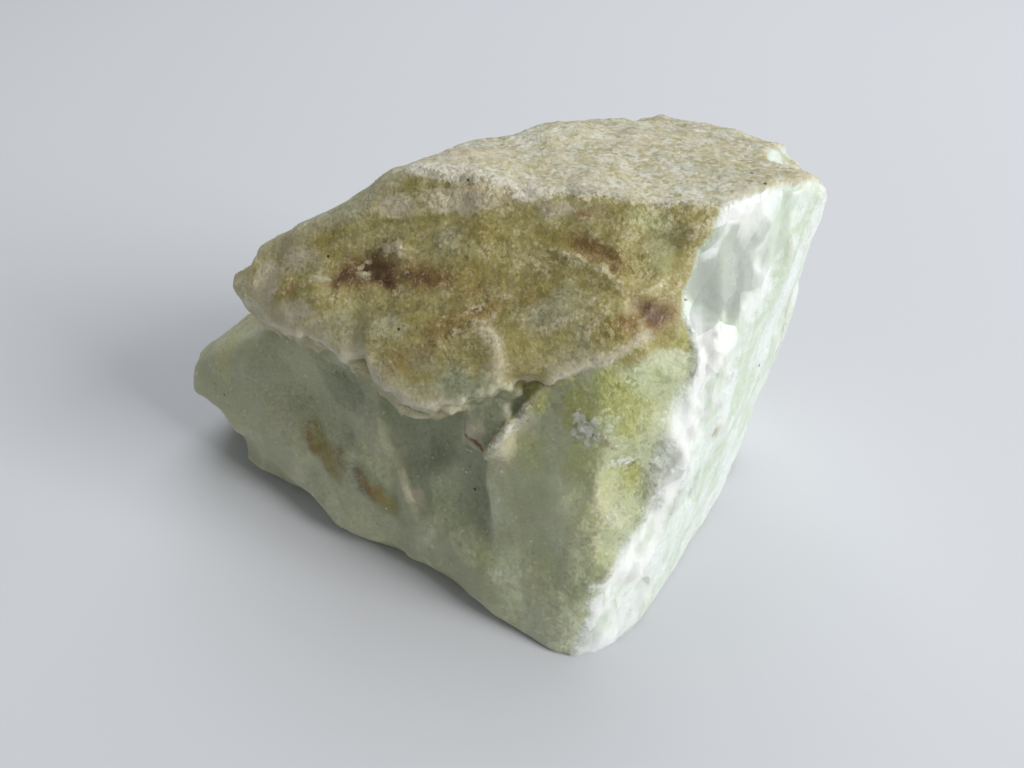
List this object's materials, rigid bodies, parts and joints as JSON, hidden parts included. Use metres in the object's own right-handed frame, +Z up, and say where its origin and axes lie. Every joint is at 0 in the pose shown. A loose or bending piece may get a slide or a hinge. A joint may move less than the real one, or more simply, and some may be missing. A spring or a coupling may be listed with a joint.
{
  "type": "raw aquamarine stone",
  "caption": "Rough unpolished aquamarine: a leaning block with a stained upper slab over a cleaner fracture face, a frosted crest and a flat base to rest on.",
  "frame": {"origin": "centre of the bounding box in plan, at the flat base", "axes": "+X along the stone's length, from the low rounded tip towards the tall bright end; +Y away from the stained face; +Z up"},
  "size_m": [0.0782, 0.0516, 0.0476],
  "materials": {
    "stone": "rough, frosted and slightly waxy, milky pale green with brown earthy stains"
  },
  "bodies": {
    "root": {"raw_aquamarine": "stone"}
  },
  "joints": []
}
